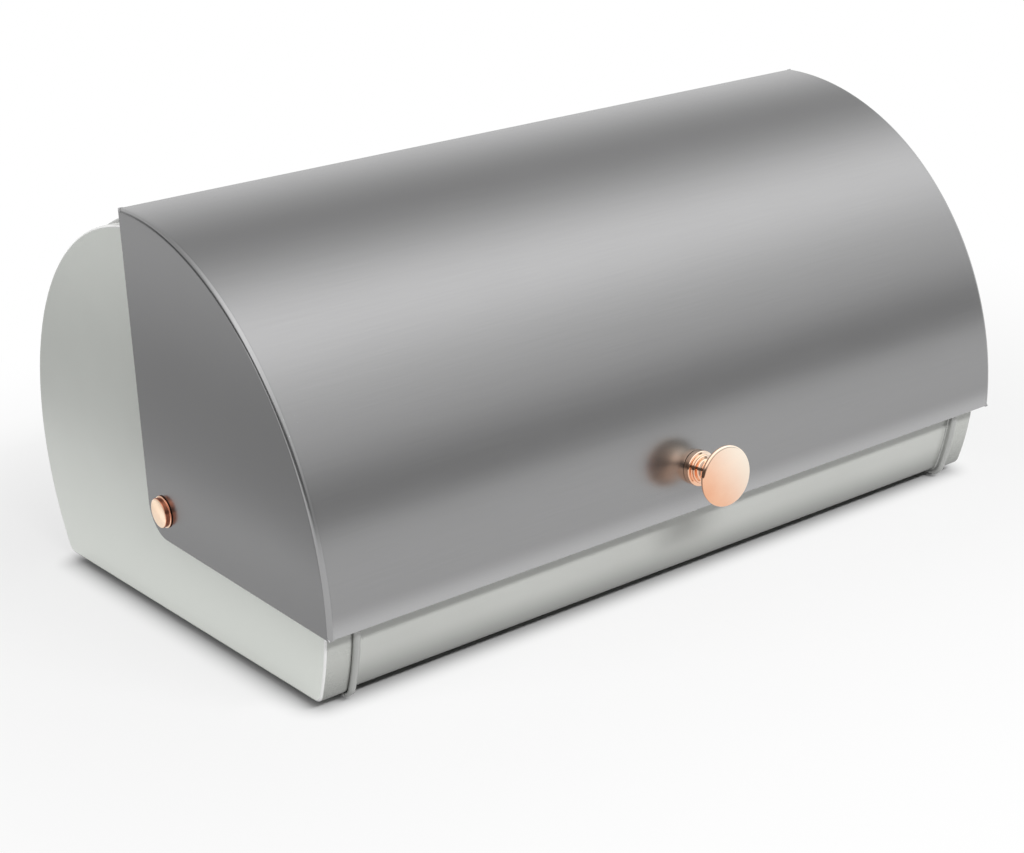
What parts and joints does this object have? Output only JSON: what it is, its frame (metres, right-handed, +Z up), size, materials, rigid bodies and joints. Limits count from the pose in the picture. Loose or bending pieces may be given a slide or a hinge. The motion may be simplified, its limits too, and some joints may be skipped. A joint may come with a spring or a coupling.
{
  "type": "bread box",
  "caption": "Sheet-steel bread box: a drum-shaped body on a flat base, with a curved lid that swings back over it on side pivots and a turned knob.",
  "frame": {"origin": "centre of the overall bounding box in plan, on the surface that the feet stand on", "axes": "+X along the box's length, to the right seen from the front; the front and the knob face -Y; +Z up"},
  "size_m": [0.3902, 0.2802, 0.1907],
  "materials": {
    "body": "satin metallic lacquer, light greenish grey",
    "lid": "semi-gloss metallic lacquer, mid grey",
    "rose": "polished, rose-gold plated",
    "rubber": "matt black",
    "nylon": "natural nylon",
    "zinc": "zinc-plated"
  },
  "bodies": {
    "root": {"wrap_panel": "body", "end_cap_left": "body", "end_cap_right": "body", "foot_front_left": "rubber", "foot_front_right": "rubber", "foot_rear_left": "rubber", "foot_rear_right": "rubber", "foot_rivets": "zinc", "lip_bumper_left": "rubber", "lip_bumper_right": "rubber", "pivot_bolt_left": "rose", "pivot_bolt_right": "rose", "pivot_bush_left": "nylon", "pivot_bush_right": "nylon", "pivot_washer_left": "zinc", "pivot_washer_right": "zinc", "pivot_nut_left": "zinc", "pivot_nut_right": "zinc"},
    "lid": {"lid_sheet": "lid", "lid_cheek_left": "lid", "lid_cheek_right": "lid", "knob": "rose", "knob_washer": "zinc", "knob_screw": "zinc"}
  },
  "joints": [
    {"name": "lid_swing", "type": "hinge", "parent": "root", "child": "lid", "pos_m": [0, 0.0126, 0.057], "axis": [-1, 0, 0], "range_deg": [0, 88]}
  ]
}
